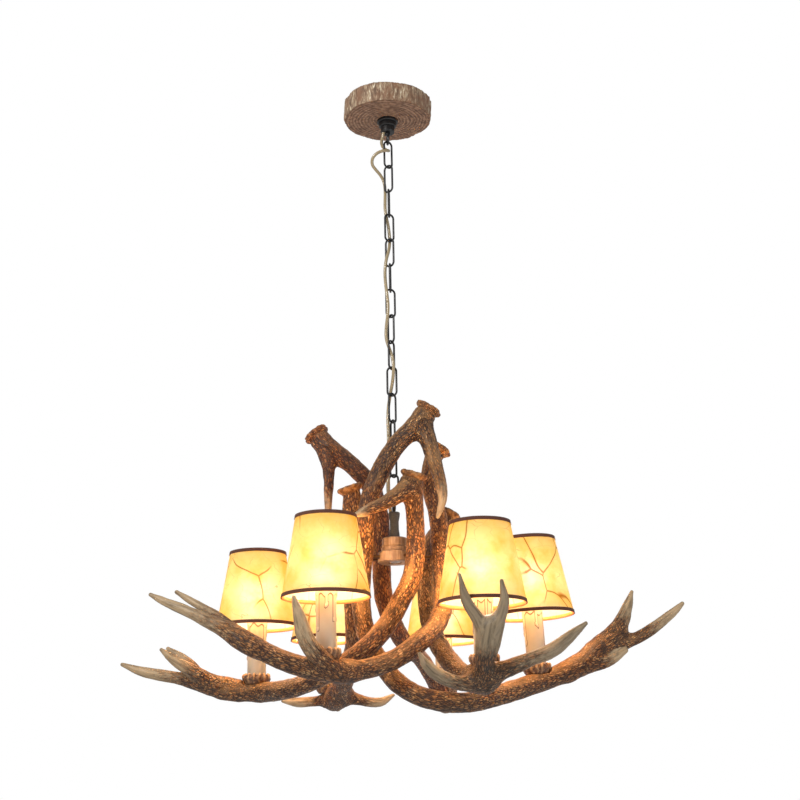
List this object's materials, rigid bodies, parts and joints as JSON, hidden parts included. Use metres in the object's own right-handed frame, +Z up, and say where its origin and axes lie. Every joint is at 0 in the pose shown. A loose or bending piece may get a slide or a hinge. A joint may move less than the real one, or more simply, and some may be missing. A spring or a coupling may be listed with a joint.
{
  "type": "chandelier",
  "caption": "Antler chandelier: interlaced antlers round a turned hub carry candle lights with parchment shades, hung on a link chain from a bark-edged ceiling cover.",
  "frame": {"origin": "middle of the bracket's two fixing slots, in the ceiling plane, on the chain's axis", "axes": "+Z up into the ceiling, +X to the right and +Y away in the pictured view"},
  "size_m": [0.9009, 0.5687, 1.0709],
  "materials": {
    "zinc_steel": "satin",
    "bark_resin": "matte",
    "black_metal": "satin",
    "cord_pvc": "gloss",
    "dark_grey_metal": "matte",
    "brown_wood": "satin",
    "antler_resin": "matte",
    "burr_resin": "matte",
    "candle_resin": "satin",
    "wire_steel": "satin",
    "parchment": "matte",
    "socket_plastic": "matte",
    "bulb_glass": "gloss"
  },
  "bodies": {
    "ceiling": {"mounting_bracket": "zinc_steel", "mounting_tube": "zinc_steel", "bracket_nuts": "zinc_steel", "canopy": "bark_resin", "canopy_collar": "black_metal", "canopy_eye": "black_metal", "supply_cord": "cord_pvc"},
    "link_01": {"chain_link_01": "black_metal"},
    "link_02": {"chain_link_02": "black_metal"},
    "link_03": {"chain_link_03": "black_metal"},
    "link_04": {"chain_link_04": "black_metal"},
    "link_05": {"chain_link_05": "black_metal"},
    "link_06": {"chain_link_06": "black_metal"},
    "link_07": {"chain_link_07": "black_metal"},
    "link_08": {"chain_link_08": "black_metal"},
    "link_09": {"chain_link_09": "black_metal"},
    "link_10": {"chain_link_10": "black_metal"},
    "link_11": {"chain_link_11": "black_metal"},
    "link_12": {"chain_link_12": "black_metal"},
    "link_13": {"chain_link_13": "black_metal"},
    "link_14": {"chain_link_14": "black_metal"},
    "antler_frame": {"hub_eye": "black_metal", "hub_neck": "dark_grey_metal", "hub_body": "brown_wood", "hub_tube_and_nut": "zinc_steel", "hub_studs": "zinc_steel", "antler_front_left": "antler_resin", "antler_front_right": "antler_resin", "antler_right": "antler_resin", "antler_back_right": "antler_resin", "antler_back_left": "antler_resin", "antler_left": "antler_resin", "cup_front_left": "burr_resin", "cup_front_right": "burr_resin", "cup_right": "burr_resin", "cup_back_right": "burr_resin", "cup_back_left": "burr_resin", "cup_left": "burr_resin", "candle_front_left": "candle_resin", "candle_front_right": "candle_resin", "candle_right": "candle_resin", "candle_back_right": "candle_resin", "candle_back_left": "candle_resin", "candle_left": "candle_resin", "lamp_tubes": "zinc_steel", "lamp_sockets": "socket_plastic", "bulbs": "bulb_glass"},
    "lampshade_front_left": {"shade_front_left": "parchment", "shade_frame_front_left": "wire_steel"},
    "lampshade_front_right": {"shade_front_right": "parchment", "shade_frame_front_right": "wire_steel"},
    "lampshade_right": {"shade_right": "parchment", "shade_frame_right": "wire_steel"},
    "lampshade_back_right": {"shade_back_right": "parchment", "shade_frame_back_right": "wire_steel"},
    "lampshade_back_left": {"shade_back_left": "parchment", "shade_frame_back_left": "wire_steel"},
    "lampshade_left": {"shade_left": "parchment", "shade_frame_left": "wire_steel"}
  },
  "joints": [
    {"name": "link_01_swing", "type": "hinge", "parent": "ceiling", "child": "link_01", "pos_m": [0, 0, -0.081], "axis": [-0.1392, 0.9903, 0], "range_deg": [-12, 12], "deforming": ["supply_cord"]},
    {"name": "link_02_swing", "type": "hinge", "parent": "link_01", "child": "link_02", "pos_m": [0, 0, -0.12725], "axis": [0.829, 0.5592, 0], "range_deg": [-12, 12], "deforming": ["supply_cord"]},
    {"name": "link_03_swing", "type": "hinge", "parent": "link_02", "child": "link_03", "pos_m": [0, 0, -0.17375], "axis": [-0.848, 0.5299, 0], "range_deg": [-6, 6], "deforming": ["supply_cord"]},
    {"name": "link_04_swing", "type": "hinge", "parent": "link_03", "child": "link_04", "pos_m": [0, 0, -0.22025], "axis": [0.0698, 0.9976, 0], "range_deg": [-6, 6], "deforming": ["supply_cord"]},
    {"name": "link_05_swing", "type": "hinge", "parent": "link_04", "child": "link_05", "pos_m": [0, 0, -0.26675], "axis": [0.9272, 0.3746, 0], "range_deg": [-6, 6], "deforming": ["supply_cord"]},
    {"name": "link_06_swing", "type": "hinge", "parent": "link_05", "child": "link_06", "pos_m": [0, 0, -0.31325], "axis": [-0.848, 0.5299, 0], "range_deg": [-6, 6], "deforming": ["supply_cord"]},
    {"name": "link_07_swing", "type": "hinge", "parent": "link_06", "child": "link_07", "pos_m": [0, 0, -0.35975], "axis": [0.0698, 0.9976, 0], "range_deg": [-6, 6], "deforming": ["supply_cord"]},
    {"name": "link_08_swing", "type": "hinge", "parent": "link_07", "child": "link_08", "pos_m": [0, 0, -0.40625], "axis": [0.9397, 0.342, 0], "range_deg": [-6, 6], "deforming": ["supply_cord"]},
    {"name": "link_09_swing", "type": "hinge", "parent": "link_08", "child": "link_09", "pos_m": [0, 0, -0.45275], "axis": [-0.6157, 0.788, 0], "range_deg": [-6, 6], "deforming": ["supply_cord"]},
    {"name": "link_10_swing", "type": "hinge", "parent": "link_09", "child": "link_10", "pos_m": [0, 0, -0.49925], "axis": [0.5736, 0.8192, 0], "range_deg": [-6, 6], "deforming": ["supply_cord"]},
    {"name": "link_11_swing", "type": "hinge", "parent": "link_10", "child": "link_11", "pos_m": [0, 0, -0.54575], "axis": [-0.9848, 0.1736, 0], "range_deg": [-6, 6], "deforming": ["supply_cord"]},
    {"name": "link_12_swing", "type": "hinge", "parent": "link_11", "child": "link_12", "pos_m": [0, 0, -0.59225], "axis": [0.7071, 0.7071, 0], "range_deg": [-6, 6], "deforming": ["supply_cord"]},
    {"name": "link_13_swing", "type": "hinge", "parent": "link_12", "child": "link_13", "pos_m": [0, 0, -0.63875], "axis": [-0.4226, 0.9063, 0], "range_deg": [-6, 6], "deforming": ["supply_cord"]},
    {"name": "link_14_swing", "type": "hinge", "parent": "link_13", "child": "link_14", "pos_m": [0, 0, -0.68525], "axis": [0.6428, 0.766, 0], "range_deg": [-6, 6], "deforming": ["supply_cord"]},
    {"name": "hub_swing", "type": "hinge", "parent": "link_14", "child": "antler_frame", "pos_m": [0, 0, -0.73175], "axis": [-0.9659, 0.2588, 0], "range_deg": [-6, 6], "deforming": ["supply_cord"]},
    {"name": "shade_turn_front_left", "type": "hinge", "parent": "antler_frame", "child": "lampshade_front_left", "pos_m": [-0.102, -0.165, -0.9832], "axis": [0, 0, 1], "continuous": true},
    {"name": "shade_turn_front_right", "type": "hinge", "parent": "antler_frame", "child": "lampshade_front_right", "pos_m": [0.13, -0.155, -0.9952], "axis": [0, 0, 1], "continuous": true},
    {"name": "shade_turn_right", "type": "hinge", "parent": "antler_frame", "child": "lampshade_right", "pos_m": [0.219, -0.02, -0.9962], "axis": [-0.0436, 0, 0.999], "continuous": true},
    {"name": "shade_turn_back_right", "type": "hinge", "parent": "antler_frame", "child": "lampshade_back_right", "pos_m": [0.082, 0.263, -1.0002], "axis": [0, 0, 1], "continuous": true},
    {"name": "shade_turn_back_left", "type": "hinge", "parent": "antler_frame", "child": "lampshade_back_left", "pos_m": [-0.12, 0.243, -0.9962], "axis": [0, 0, 1], "continuous": true},
    {"name": "shade_turn_left", "type": "hinge", "parent": "antler_frame", "child": "lampshade_left", "pos_m": [-0.227, 0.057, -0.9962], "axis": [0, 0, 1], "continuous": true}
  ]
}
